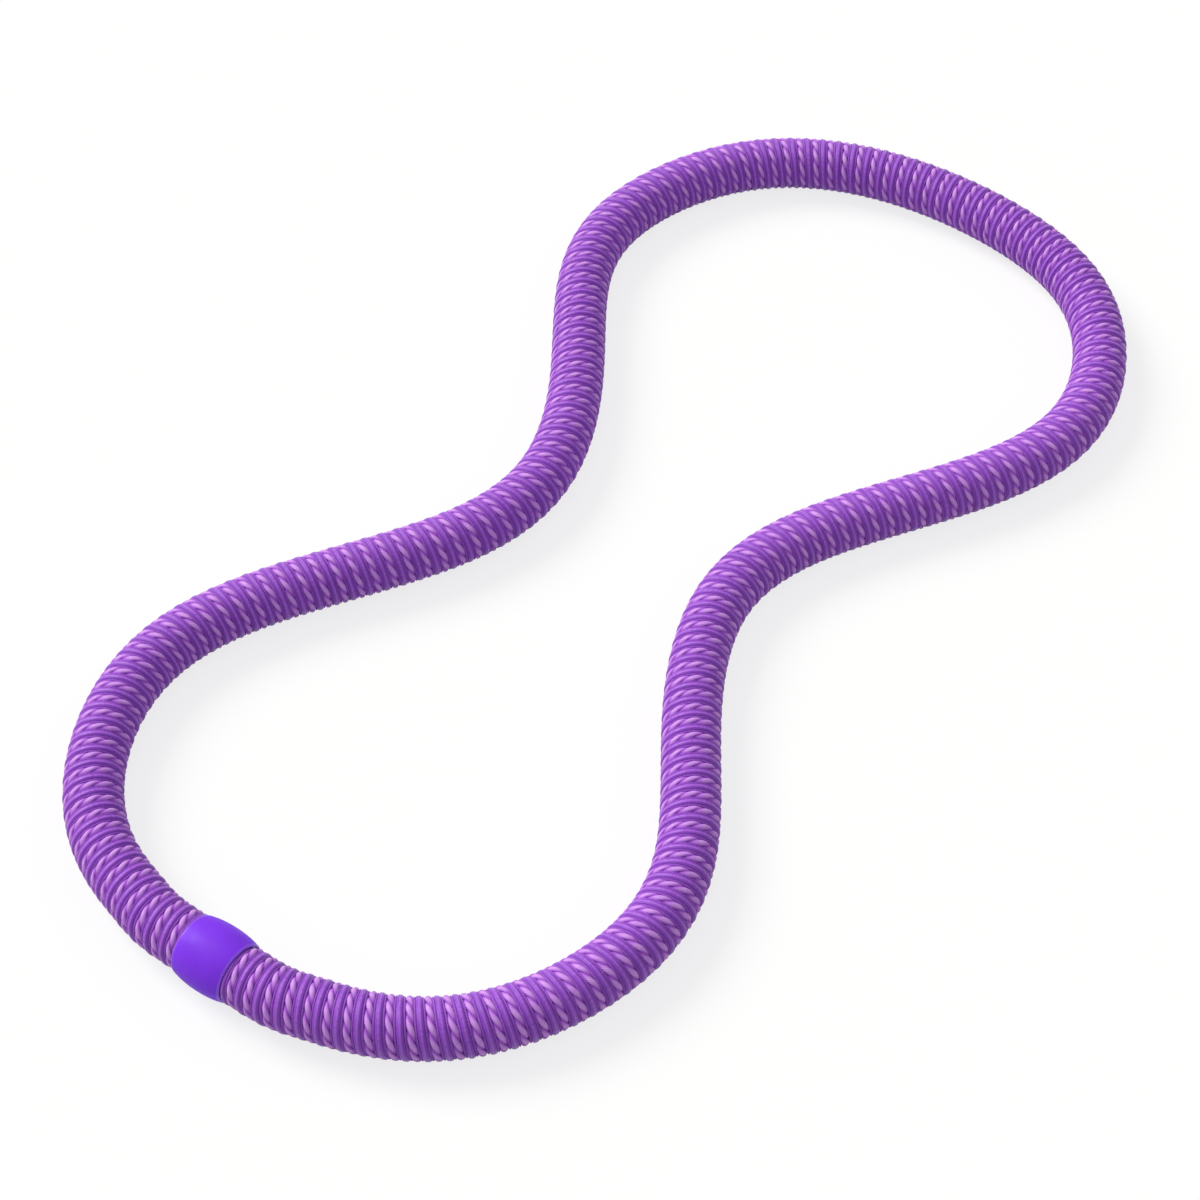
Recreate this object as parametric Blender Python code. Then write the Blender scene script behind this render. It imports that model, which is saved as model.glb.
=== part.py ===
"""Flexible exercise hoop, lying squeezed into two lobes and a waist.

A steel spring in a foam sleeve is wound all along with a pair of cords, and its two ends meet on a plug
inside a moulded collar. The loop lies in the XY plane on the floor, Z up, with the collar at the -Y tip and
the origin under the middle of the loop. Lengths are in metres, and a station is the distance along the
centreline from the collar, counter-clockwise seen from above.

The loop bends at six places. Between them the spring, foam and cover are rigid stretches, and at each bend
a short stretch of each carries the change of shape.
"""

import math

import bmesh
import bpy
import numpy as np
from mathutils import Vector

# Clearance between pieces that touch
CLEARANCE = 0.0003

# Wound cover: a pair of cords side by side is one rib
COVER_RADIUS = 0.0200
GROOVE_DEPTH = 0.0017
COVER_WALL = 0.0057
PITCH = 0.01214
FLOOR_CUT = 0.0005

# Foam sleeve and spring core
FOAM_WALL = 0.0042
SPRING_WIRE = 0.0012

# Connector collar, a barrel that stands proud of the cords at its ends and bulges between them
COLLAR_LENGTH = 0.0386
COLLAR_PROUD = 0.0006
COLLAR_BULGE = 0.0022
COLLAR_RIM = 0.0013
LIP_CHAMFER = 0.0003
LIP_DEPTH = 0.0070
LIP_WALL = 0.0016

# Binding band round each end of the cords, under the collar's lip
BAND_WIDTH = 0.0050
BAND_WALL = 0.0007

# Joining plug
FLANGE_THICKNESS = 0.0060
FLANGE_RIM = 0.0020
SPIGOT_LENGTH = 0.0160
SPIGOT_CHAMFER = 0.0015

# Bends: how far round half the loop each of the three lies from the collar, as a share, and the turns of cord
# that flex at each. The left-hand half repeats them half a loop further on.
NEAR_SHOULDER_AT = 0.2340
WAIST_AT = 0.5090
FAR_SHOULDER_AT = 0.8000
FLEX_TURNS = 3

# The collar holds the tube straight this far past its ends. From there the tube turns to its free curve over
# the ease length, and comes down to the floor over the rise length.
# The straight lies this far inside the free curve, as a chord does.
STRAIGHT_PAST_COLLAR = 0.0010
STRAIGHT_INSET = 0.0014
EASE_LENGTH = 0.0600
RISE_LENGTH = 0.1500

# Centreline of the loop as it lies, from tip to tip and across a lobe
LOOP_LENGTH = 0.8860
LOOP_WIDTH = 0.4000

# Route of the centreline, in shares of half the loop's width and length, from the collar: half the loop, and
# the other half is its half turn about the origin
HALF_ROUTE = (
    (-0.020, -1.000),
    (0.479, -0.961),
    (0.834, -0.835),
    (0.998, -0.641),
    (0.915, -0.453),
    (0.639, -0.257),
    (0.432, -0.044),
    (0.512, 0.170),
    (0.830, 0.404),
    (0.993, 0.610),
    (0.884, 0.804),
    (0.550, 0.950),
)

# Facets: corners round the tube, with one at the bottom, and turns of cord to each ring of an inner surface
CORNERS = 8
TURNS_PER_RING = 3
COLLAR_FACETS = 32
COLLAR_STEPS = 4
RIM_STEPS = 4
PLUG_FACETS = 24
CURVE_STEPS = 100

# Radii that follow from the sizes above. A gap between two tubes of flat facets is wider at their corners.
CORNER_GAP = CLEARANCE / math.cos(math.pi / CORNERS)
COVER_BORE = COVER_RADIUS - COVER_WALL
FOAM_RADIUS = COVER_BORE - CORNER_GAP
FOAM_BORE = FOAM_RADIUS - FOAM_WALL
SPRING_RADIUS = FOAM_BORE - CORNER_GAP
SPRING_BORE = SPRING_RADIUS - SPRING_WIRE
COLLAR_END_RADIUS = COVER_RADIUS + COLLAR_PROUD
COLLAR_RADIUS = COLLAR_END_RADIUS + COLLAR_BULGE
LIP_BORE = COLLAR_END_RADIUS - LIP_WALL
BAND_RADIUS = LIP_BORE - CLEARANCE
CUFF_RADIUS = BAND_RADIUS - BAND_WALL - CLEARANCE
LAND_BORE = FOAM_RADIUS + CLEARANCE
FLANGE_RADIUS = LAND_BORE + FLANGE_RIM
SPIGOT_RADIUS = SPRING_BORE * math.cos(math.pi / CORNERS) - CLEARANCE

# Places that follow
AXIS_HEIGHT = COVER_RADIUS - FLOOR_CUT
FLEX_LENGTH = FLEX_TURNS * PITCH
STRAIGHT_HALF = COLLAR_LENGTH / 2 + STRAIGHT_PAST_COLLAR
CUFF_START = COLLAR_LENGTH / 2 - LIP_DEPTH + CLEARANCE
CORE_START = FLANGE_THICKNESS / 2 + CLEARANCE


def colour(red, green, blue):
    """Linear colour of sRGB values from 0 to 255."""
    shares = (red / 255, green / 255, blue / 255)
    return tuple(c / 12.92 if c <= 0.04045 else ((c + 0.055) / 1.055) ** 2.4 for c in shares) + (1.0,)


FINISHES = {
    "cord_violet": (colour(136, 72, 190), 0.45, 0.0),
    "foam_violet": (colour(70, 34, 104), 0.95, 0.0),
    "spring_steel": (colour(150, 152, 156), 0.35, 1.0),
    "collar_violet": (colour(130, 66, 226), 0.22, 0.0),
    "plug_nylon": (colour(52, 50, 56), 0.50, 0.0),
    "band_steel": (colour(176, 178, 182), 0.30, 1.0),
}


def clear_scene():
    for obj in list(bpy.data.objects):
        bpy.data.objects.remove(obj, do_unlink=True)


def material(finish):
    made = bpy.data.materials.get(finish)
    if made:
        return made
    base, roughness, metallic = FINISHES[finish]
    made = bpy.data.materials.new(finish)
    made.use_nodes = True
    shader = made.node_tree.nodes["Principled BSDF"]
    shader.inputs["Base Color"].default_value = base
    shader.inputs["Roughness"].default_value = roughness
    shader.inputs["Metallic"].default_value = metallic
    made.diffuse_color = base
    return made


class Centreline:
    """Closed smooth curve through the route's points, read by station."""

    def __init__(self):
        half = np.array(HALF_ROUTE) * (LOOP_WIDTH / 2, LOOP_LENGTH / 2)
        route = np.vstack([half, -half])
        count = len(route)
        ring = (4 * np.eye(count) + np.roll(np.eye(count), 1, 1) + np.roll(np.eye(count), -1, 1)) / 6
        poles = np.linalg.solve(ring, route)
        t = np.arange(CURVE_STEPS) / CURVE_STEPS
        shares = (
            (1 - t) ** 3 / 6,
            (3 * t**3 - 6 * t**2 + 4) / 6,
            (-3 * t**3 + 3 * t**2 + 3 * t + 1) / 6,
            t**3 / 6,
        )
        spans = [
            sum(np.outer(share, poles[(i + k - 1) % count]) for k, share in enumerate(shares))
            for i in range(count)
        ]
        self.points = np.vstack(spans + [spans[0][:1]])
        steps = np.linalg.norm(np.diff(self.points, axis=0), axis=1)
        self.stations = np.concatenate([[0.0], np.cumsum(steps)])
        self.length = float(self.stations[-1])
        self.collar_direction = self.free(CLEARANCE) - self.free(-CLEARANCE)
        self.collar_direction /= np.linalg.norm(self.collar_direction)

    def free(self, station):
        """Plan position on the free curve."""
        station = station % self.length
        return np.array([np.interp(station, self.stations, self.points[:, axis]) for axis in (0, 1)])

    def held(self, from_collar, reach):
        """Share of the collar's hold: all of it along the straight, and none a reach further out."""
        out = min(max((abs(from_collar) - STRAIGHT_HALF) / reach, 0.0), 1.0)
        return 1 - out**3 * (10 - 15 * out + 6 * out**2)

    def point(self, station):
        """Position in space. Near the collar the tube is straight, and as high as the collar holds it."""
        from_collar = (station + self.length / 2) % self.length - self.length / 2
        inset = STRAIGHT_INSET * np.array([-self.collar_direction[1], self.collar_direction[0]])
        straight = self.free(0.0) + inset + self.collar_direction * from_collar
        hold = self.held(from_collar, EASE_LENGTH)
        plan = hold * straight + (1 - hold) * self.free(station)
        lift = self.held(from_collar, RISE_LENGTH) * (COLLAR_RADIUS - AXIS_HEIGHT)
        return Vector((*plan, AXIS_HEIGHT + lift))

    def forward(self, station):
        """Level direction of travel."""
        step = self.point(station + PITCH / CORNERS) - self.point(station - PITCH / CORNERS)
        step.z = 0
        return step.normalized()

    def around(self, station, corner, radius):
        """Point on a section of the tube. Corner 0 is at the bottom, and corners rise on the inner side of
        the loop, which makes a right-handed winding of corners that run forward."""
        ahead = self.forward(station)
        inward = Vector((-ahead.y, ahead.x, 0))
        angle = 2 * math.pi * corner / CORNERS
        return self.point(station) + radius * (inward * math.sin(angle) - Vector((0, 0, 1)) * math.cos(angle))


def add_object(name, bm, finish, parent, smooth_angle):
    """Object of a mesh whose points are relative to its parent empty."""
    bmesh.ops.recalc_face_normals(bm, faces=bm.faces)
    mesh = bpy.data.meshes.new(name)
    bm.to_mesh(mesh)
    bm.free()
    mesh.shade_smooth()
    mesh.set_sharp_from_angle(angle=math.radians(smooth_angle))
    mesh.materials.append(material(finish))
    obj = bpy.data.objects.new(name, mesh)
    obj.parent = parent
    bpy.context.scene.collection.objects.link(obj)
    return obj


def add_empty(name, place, parent):
    """Empty at a place in space, parented to another empty."""
    obj = bpy.data.objects.new(name, None)
    obj.parent = parent
    obj.location = Vector(place) - (parent.matrix_world.translation if parent else Vector())
    obj.empty_display_size = COVER_RADIUS
    bpy.context.scene.collection.objects.link(obj)
    bpy.context.view_layer.update()
    return obj


def ring_of(bm, line, station, radii, origin):
    """Corners of one section. radii is one radius, or one for each corner."""
    if isinstance(radii, float):
        radii = [radii] * CORNERS
    return [bm.verts.new(line.around(station, corner, radii[corner]) - origin) for corner in range(CORNERS)]


def bridge(bm, first, second):
    for corner in range(CORNERS):
        after = (corner + 1) % CORNERS
        bm.faces.new((first[corner], first[after], second[after], second[corner]))


def ring_stations(line, start, end):
    """Stations of an inner surface's rings. All layers share them, apart from those inside the collar."""
    face = COLLAR_LENGTH / 2 + CLEARANCE
    low, high = max(start, face), min(end, line.length - face)
    spans = max(1, round((high - low) / (TURNS_PER_RING * PITCH)))
    inside_start = [start] if start < face else []
    inside_end = [end] if end > line.length - face else []
    return inside_start + [low + (high - low) * i / spans for i in range(spans + 1)] + inside_end


def add_sleeve(name, line, start, end, radius, bore, finish, parent):
    """Plain tube with a bore along a stretch of the loop."""
    origin = parent.matrix_world.translation
    bm = bmesh.new()
    outer = [ring_of(bm, line, s, radius, origin) for s in ring_stations(line, start, end)]
    inner = [ring_of(bm, line, s, bore, origin) for s in ring_stations(line, start, end)]
    for rings in (outer, inner):
        for first, second in zip(rings, rings[1:]):
            bridge(bm, first, second)
    bridge(bm, outer[0], inner[0])
    bridge(bm, outer[-1], inner[-1])
    return add_object(name, bm, finish, parent, 50)


def rib_radius(station, corner):
    """Radius of the wound cords where a rib line runs from crest to groove and back in each turn."""
    turn = (station / PITCH - corner / CORNERS) % 1
    return COVER_RADIUS - GROOVE_DEPTH * (1 - abs(1 - 2 * turn))


class RibColumn:
    """Rib points at one corner of the tube, alternately on a crest and in a groove. Row numbers are shared by
    all corners, and a row moves on by one part of the pitch from each corner to the next."""

    def __init__(self, bm, line, corner, start, end, origin):
        margin = PITCH / (2 * CORNERS)
        self.first = math.ceil(2 * ((start + margin) / PITCH - corner / CORNERS))
        self.last = math.floor(2 * ((end - margin) / PITCH - corner / CORNERS))
        self.verts = []
        for row in range(self.first, self.last + 1):
            station = (row / 2 + corner / CORNERS) * PITCH
            radius = COVER_RADIUS if row % 2 == 0 else COVER_RADIUS - GROOVE_DEPTH
            self.verts.append(bm.verts.new(line.around(station, corner, radius) - origin))

    def rows(self, low, high, shift):
        """Points of rows low to high, where shift counts the rows gained on the way round."""
        return self.verts[low + shift - self.first : high + shift - self.first + 1]


def wind_ribs(bm, line, start, end, head, tail, origin):
    """Helical ribs between two end rings. A row meets itself a turn further on after the last corner, so the
    rows of the first corner are numbered two higher there."""
    columns = [RibColumn(bm, line, corner, start, end, origin) for corner in range(CORNERS)]
    for corner in range(CORNERS):
        after = (corner + 1) % CORNERS
        shift = 2 if after == 0 else 0
        here, there = columns[corner], columns[after]
        low = max(here.first, there.first - shift)
        high = min(here.last, there.last - shift)
        for row in range(low, high):
            a, b = here.rows(row, row + 1, 0)
            c, d = there.rows(row, row + 1, shift)
            bm.faces.new((a, c, d, b))
        near = here.rows(here.first, low, 0)[::-1]
        far = there.rows(there.first - shift, low, shift)
        bm.faces.new([head[corner], head[after], *far, *near])
        near = here.rows(high, here.last, 0)
        far = there.rows(high, there.last - shift, shift)[::-1]
        bm.faces.new([tail[after], tail[corner], *near[::-1], *far[::-1]])


def cut_flat(bm, origin):
    """Flat where the cords rest on the floor."""
    everything = bm.verts[:] + bm.edges[:] + bm.faces[:]
    floor = Vector((0, 0, -origin.z))
    up = Vector((0, 0, 1))
    bmesh.ops.bisect_plane(bm, geom=everything, dist=1e-7, plane_co=floor, plane_no=up, clear_inner=True)
    bmesh.ops.holes_fill(bm, edges=[edge for edge in bm.edges if edge.is_boundary], sides=0)


def add_cover(name, line, start, end, parent, cuff_at=None):
    """Wound cover along a stretch. cuff_at is the end that the collar's lip holds, where the cords are bound
    flat."""
    origin = parent.matrix_world.translation
    bm = bmesh.new()
    face = COLLAR_LENGTH / 2 + CLEARANCE
    heads, tails = [], []
    low, high = start, end
    if cuff_at == "start":
        heads = [ring_of(bm, line, start, CUFF_RADIUS, origin)]
        low = face
        heads.append(ring_of(bm, line, low, CUFF_RADIUS, origin))
    else:
        heads = [ring_of(bm, line, start, [rib_radius(start, c) for c in range(CORNERS)], origin)]
    if cuff_at == "end":
        high = line.length - face
        tails = [ring_of(bm, line, high, CUFF_RADIUS, origin), ring_of(bm, line, end, CUFF_RADIUS, origin)]
    else:
        tails = [ring_of(bm, line, end, [rib_radius(end, c) for c in range(CORNERS)], origin)]
    for rings in (heads, tails):
        for first, second in zip(rings, rings[1:]):
            bridge(bm, first, second)
    wind_ribs(bm, line, low, high, heads[-1], tails[0], origin)
    inner = [ring_of(bm, line, s, COVER_BORE, origin) for s in ring_stations(line, start, end)]
    for first, second in zip(inner, inner[1:]):
        bridge(bm, first, second)
    bridge(bm, heads[0], inner[0])
    bridge(bm, tails[-1], inner[-1])
    bmesh.ops.recalc_face_normals(bm, faces=bm.faces)
    cut_flat(bm, origin)
    return add_object(name, bm, "cord_violet", parent, 60)


def add_turned(name, profile, facets, finish, parent, place, heading, hollow=True):
    """Profile of (along, radius) points turned about the local X axis. A hollow one closes on itself, and a
    solid one ends in two flat faces."""
    bm = bmesh.new()
    angles = [2 * math.pi * i / facets for i in range(facets)]
    rings = []
    for along, radius in profile:
        rings.append([bm.verts.new((along, radius * math.sin(a), -radius * math.cos(a))) for a in angles])
    pairs = list(zip(rings, rings[1:]))
    if hollow:
        pairs.append((rings[-1], rings[0]))
    else:
        bm.faces.new(rings[0])
        bm.faces.new(rings[-1])
    for first, second in pairs:
        for i in range(facets):
            j = (i + 1) % facets
            bm.faces.new((first[i], first[j], second[j], second[i]))
    obj = add_object(name, bm, finish, parent, 35)
    obj.location = place - parent.matrix_world.translation
    obj.rotation_euler.z = heading
    return obj


def arc(centre, radius, start, end, steps):
    """Points of a round edge in a profile, from one angle in degrees to another."""
    angles = [math.radians(start + (end - start) * i / steps) for i in range(steps + 1)]
    return [(centre[0] + radius * math.cos(a), centre[1] + radius * math.sin(a)) for a in angles]


def mirrored(half):
    """A profile's right-hand half, from the outer middle to the inner middle, and its mirror. A point on the
    middle itself isn't repeated."""
    return half + [(-along, radius) for along, radius in reversed(half) if along > CLEARANCE]


def collar_profile():
    end = COLLAR_LENGTH / 2
    groove = FLANGE_THICKNESS / 2 + CLEARANCE
    barrel = end - COLLAR_RIM
    bow = (barrel**2 + COLLAR_BULGE**2) / (2 * COLLAR_BULGE)
    slope = math.degrees(math.asin(barrel / bow))
    half = arc((0, COLLAR_RADIUS - bow), bow, 90, 90 - slope, COLLAR_STEPS)
    half += arc((barrel, COLLAR_END_RADIUS - COLLAR_RIM), COLLAR_RIM, 90 - slope, 0, RIM_STEPS)
    half += [
        (end - LIP_CHAMFER, LIP_BORE),
        (end - LIP_DEPTH, LIP_BORE),
        (end - LIP_DEPTH, LAND_BORE),
        (groove, LAND_BORE),
        (groove, FLANGE_RADIUS + CLEARANCE),
    ]
    return mirrored(half)


def plug_profile():
    face = FLANGE_THICKNESS / 2
    tip = face + SPIGOT_LENGTH
    half = [
        (face, FLANGE_RADIUS),
        (face, SPIGOT_RADIUS),
        (tip - SPIGOT_CHAMFER, SPIGOT_RADIUS),
        (tip, SPIGOT_RADIUS - SPIGOT_CHAMFER),
    ]
    return [(-along, radius) for along, radius in reversed(half)] + half


def band_profile(middle):
    near, far = middle - BAND_WIDTH / 2, middle + BAND_WIDTH / 2
    inside = BAND_RADIUS - BAND_WALL
    return [(near, BAND_RADIUS), (far, BAND_RADIUS), (far, inside), (near, inside)]


def add_connector(line, right, left):
    """Collar, plug and bands. The collar and plug stay with the right-hand end, and the left-hand end enters
    them."""
    place = line.point(0.0)
    heading = math.atan2(line.collar_direction[1], line.collar_direction[0])
    add_turned("connector_collar", collar_profile(), COLLAR_FACETS, "collar_violet", right, place, heading)
    add_turned("joining_plug", plug_profile(), PLUG_FACETS, "plug_nylon", right, place, heading, hollow=False)
    band = COLLAR_LENGTH / 2 - LIP_DEPTH + CLEARANCE + BAND_WIDTH / 2
    for name, side, parent in (("binding_band_right", 1, right), ("binding_band_left", -1, left)):
        add_turned(name, band_profile(side * band), PLUG_FACETS, "band_steel", parent, place, heading)


def bend_stations(line):
    half = line.length / 2
    right = [share * half for share in (NEAR_SHOULDER_AT, WAIST_AT, FAR_SHOULDER_AT)]
    return right + [station + half for station in right]


BENDS = (
    "near_right_shoulder",
    "right_waist",
    "far_right_shoulder",
    "far_left_shoulder",
    "left_waist",
    "near_left_shoulder",
)
STRETCHES = (
    "near_lobe_right",
    "right_run_near",
    "right_run_far",
    "far_lobe",
    "left_run_far",
    "left_run_near",
    "near_lobe_left",
)
ROOT = STRETCHES.index("far_lobe")


def add_stretch(label, line, start, end, core_start, core_end, parent, cuff_at):
    """Cover, foam and spring of one stretch. The foam and spring reach further into the collar than the
    cover."""
    core = (line, core_start, core_end)
    add_cover("cover_" + label, line, start, end, parent, cuff_at)
    add_sleeve("foam_" + label, *core, FOAM_RADIUS, FOAM_BORE, "foam_violet", parent)
    add_sleeve("spring_" + label, *core, SPRING_RADIUS, SPRING_BORE, "spring_steel", parent)


def main():
    clear_scene()
    line = Centreline()
    bends = bend_stations(line)

    # Empties on the bend axes, in one chain each way from the far lobe
    empties = {ROOT: add_empty("body_far_lobe", (0, 0, 0), None)}
    for index in list(range(ROOT + 1, len(STRETCHES))) + list(range(ROOT - 1, -1, -1)):
        inner = index - 1 if index > ROOT else index + 1
        bend = min(index, inner)
        empties[index] = add_empty("body_" + STRETCHES[index], line.point(bends[bend]), empties[inner])

    half_flex = (FLEX_LENGTH + CLEARANCE) / 2
    for index, label in enumerate(STRETCHES):
        first, last = index == 0, index == len(STRETCHES) - 1
        start = CUFF_START if first else bends[index - 1] + half_flex
        end = line.length - CUFF_START if last else bends[index] - half_flex
        core_start = CORE_START if first else start
        core_end = line.length - CORE_START if last else end
        cuff_at = "start" if first else "end" if last else None
        add_stretch(label, line, start, end, core_start, core_end, empties[index], cuff_at)

    # Flexing stretches belong to the stretch on the far lobe's side
    for index, label in enumerate(BENDS):
        parent = empties[index + 1 if index < ROOT else index]
        start = bends[index] - half_flex + CLEARANCE
        end = bends[index] + half_flex - CLEARANCE
        add_stretch("bend_" + label, line, start, end, start, end, parent, None)

    add_connector(line, empties[0], empties[len(STRETCHES) - 1])


main()
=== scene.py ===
"""Exercise hoop, dressed round its fixed frame.

A smooth cord and a two-ply twisted cord are wound side by side round a foam sleeve and a spring core, and the
loop closes in a moulded collar. Lengths are in metres. A station is the distance along the middle of the tube
from the collar, counter-clockwise seen from above, and an angle goes round the tube from its underside towards
the inner side of the loop.
"""

import logging
import math
from collections.abc import Iterator
from dataclasses import dataclass, field
from enum import Enum
from functools import reduce

import bpy
import numpy as np
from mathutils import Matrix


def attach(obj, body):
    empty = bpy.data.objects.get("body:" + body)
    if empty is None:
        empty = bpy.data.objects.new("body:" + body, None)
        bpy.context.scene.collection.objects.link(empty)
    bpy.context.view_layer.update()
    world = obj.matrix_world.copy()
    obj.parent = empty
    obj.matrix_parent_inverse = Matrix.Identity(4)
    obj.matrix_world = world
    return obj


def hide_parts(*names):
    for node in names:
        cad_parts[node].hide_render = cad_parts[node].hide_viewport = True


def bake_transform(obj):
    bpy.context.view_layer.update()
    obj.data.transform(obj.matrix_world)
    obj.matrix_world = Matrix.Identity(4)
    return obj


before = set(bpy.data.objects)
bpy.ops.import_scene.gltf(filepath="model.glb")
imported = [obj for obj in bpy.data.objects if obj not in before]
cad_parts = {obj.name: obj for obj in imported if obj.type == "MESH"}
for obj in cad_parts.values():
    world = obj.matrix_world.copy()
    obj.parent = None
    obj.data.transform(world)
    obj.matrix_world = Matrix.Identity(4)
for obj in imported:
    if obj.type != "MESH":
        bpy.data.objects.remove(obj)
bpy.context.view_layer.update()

LOG = logging.getLogger("exercise hoop")
TURN = 2 * math.pi
STRAND_MAP = "strand"
DEPTH_MAP = "depth"
BAKE_MAP = "OFBake"

Array = np.ndarray
Colour = tuple[float, float, float, float]
Limits = tuple[float, float]
Outputs = bpy.types.NodeOutputs
Piece = bpy.types.Object
Place = tuple[float, float, float]
Shares = tuple[tuple[str, float], ...]
Socket = bpy.types.NodeSocket
Sockets = tuple[Socket, ...]
Inputs = dict[str | int, Socket | float | Colour]
Patterns = dict[str, Socket]
Tints = tuple[tuple[str, float, Colour], ...]
WHITE: Colour = (1.0, 1.0, 1.0, 1.0)


class Slot(Enum):
    """Names of the material slots, which each finish carries."""

    CORD = "cord_violet"
    FOAM = "foam_violet"
    SPRING = "spring_steel"
    COLLAR = "collar_violet"
    PLUG = "plug_nylon"
    BAND = "band_steel"


class Layer(Enum):
    """Layers of the tube, by the word that starts their nodes' names."""

    COVER = "cover"
    FOAM = "foam"
    SPRING = "spring"


def srgb(red: float, green: float, blue: float) -> Colour:
    """Gives the linear colour, with alpha 1, of sRGB values from 0 to 255."""
    shares = [value / 255 for value in (red, green, blue)]
    return (*(c / 12.92 if c <= 0.04045 else ((c + 0.055) / 1.055) ** 2.4 for c in shares), 1.0)


def circle(sides: int, start: float = 0.0) -> tuple[Array, Array]:
    """Gives the sines and cosines of angles spread evenly round a circle."""
    angles = start + TURN * np.arange(sides) / sides
    return np.sin(angles), np.cos(angles)


def add_object(name: str, data: bpy.types.ID) -> Piece:
    """Makes an object of a mesh, lamp or camera, and puts it in the scene."""
    bpy.context.scene.collection.objects.link(made := bpy.data.objects.new(name, data))
    return made


class Wiring:
    """Adds nodes to a tree and joins them."""

    def __init__(self, tree: bpy.types.NodeTree) -> None:
        """Keeps the tree of a material, a world or a node group."""
        self.tree = tree

    def feed(self, node: bpy.types.Node, inputs: Inputs) -> None:
        """Links a node's inputs, or sets their own values.

        Args:
            node: The node.
            inputs: Outputs to link or plain values, by the input's name or number.
        """
        for name, value in inputs.items():
            if isinstance(value, Socket):
                self.tree.links.new(value, node.inputs[name])
            else:
                node.inputs[name].default_value = value

    def node(self, kind: str, inputs: Inputs | None = None, **settings: object) -> bpy.types.Node:
        """Adds a node.

        Args:
            kind: Blender's name of the node type, without ShaderNode at its start.
            inputs: Its inputs, as feed() takes them.
            **settings: Attributes of the node.

        Returns:
            The node.
        """
        made = self.tree.nodes.new(kind if kind.startswith("NodeGroup") else f"ShaderNode{kind}")
        for name, value in settings.items():
            setattr(made, name, value)
        self.feed(made, inputs or {})
        return made

    def maths(self, operation: str, *values: Socket | float) -> Socket:
        """Adds a Math node and gives its output."""
        return self.node("Math", dict(enumerate(values)), operation=operation).outputs[0]

    def times(self, value: Socket, factor: Socket | float) -> Socket:
        """Multiplies a value."""
        return self.maths("MULTIPLY", value, factor)

    def add(self, value: Socket, share: Socket | float, base: Socket | float) -> Socket:
        """Adds a share of a value to a base."""
        return self.maths("MULTIPLY_ADD", value, share, base)

    def lifted(self, wave: Socket) -> Socket:
        """Brings a wave between -1 and 1 to between 0 and 1."""
        return self.add(wave, 0.5, 0.5)

    def between(self, value: Socket, low: Socket | float, high: Socket | float) -> Socket:
        """Maps a value to between 0 and 1, as it goes from low to high, clamped and smooth."""
        inputs = {"Value": value, "From Min": low, "From Max": high}
        return self.node("MapRange", inputs, interpolation_type="SMOOTHSTEP").outputs[0]

    def mix(self, share: Socket, first: Socket | Colour, second: Socket | Colour) -> Socket:
        """Mixes a share of the second colour into the first."""
        inputs = {0: share, 6: first, 7: second}
        return self.node("Mix", inputs, data_type="RGBA", clamp_factor=True).outputs[2]

    def join(self, x: Socket | float, y: Socket | float = 0.0, z: Socket | float = 0.0) -> Socket:
        """Joins three parts to a vector."""
        return self.node("CombineXYZ", {0: x, 1: y, 2: z}).outputs[0]

    def split(self, vector: Socket) -> list[Socket]:
        """Gives the three parts of a vector."""
        return list(self.node("SeparateXYZ", {0: vector}).outputs)

    def map_parts(self, name: str) -> list[Socket]:
        """Gives the two parts of a map that the mesh carries."""
        return self.split(self.node("UVMap", uv_map=name).outputs[0])[:2]

    def noise(self, place: Socket, detail: float, roughness: float = 0.5, scale: float = 1.0) -> Socket:
        """Reads soft noise, from 0 to 1, at a place."""
        inputs = {"Vector": place, "Scale": scale, "Detail": detail, "Roughness": roughness}
        return self.node("TexNoise", inputs).outputs["Fac"]


class Effect:
    """Node group that several materials share. It is built once."""

    name: str = ""
    inputs: dict[str, float | Place] = {}
    outputs: tuple[str, ...] = ()

    @classmethod
    def tree(cls) -> bpy.types.NodeTree:
        """Gives the group's tree, built on first use.

        Returns:
            The tree.
        """
        if found := bpy.data.node_groups.get(cls.name):
            return found
        made = bpy.data.node_groups.new(cls.name, "ShaderNodeTree")
        for name, value in cls.inputs.items():
            kind = "NodeSocketVector" if isinstance(value, tuple) else "NodeSocketFloat"
            made.interface.new_socket(name, in_out="INPUT", socket_type=kind).default_value = value
        for name in cls.outputs:
            made.interface.new_socket(name, in_out="OUTPUT", socket_type="NodeSocketFloat")
        wiring = Wiring(made)
        results = cls.wire(wiring, wiring.node("NodeGroupInput").outputs)
        wiring.node("NodeGroupOutput", dict(zip(cls.outputs, results)))
        return made

    @classmethod
    def wire(cls, wiring: Wiring, given: Outputs) -> Sockets:
        """Wires the inside of the group. Each effect has its own."""
        raise NotImplementedError

    @classmethod
    def place(cls, wiring: Wiring, **values: Socket | float) -> Sockets:
        """Places the group with inputs by name, underscores for spaces, and gives its outputs in order."""
        inputs = {name.replace("_", " "): value for name, value in values.items()}
        return tuple(wiring.node("Group", inputs, node_tree=cls.tree()).outputs)


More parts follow.
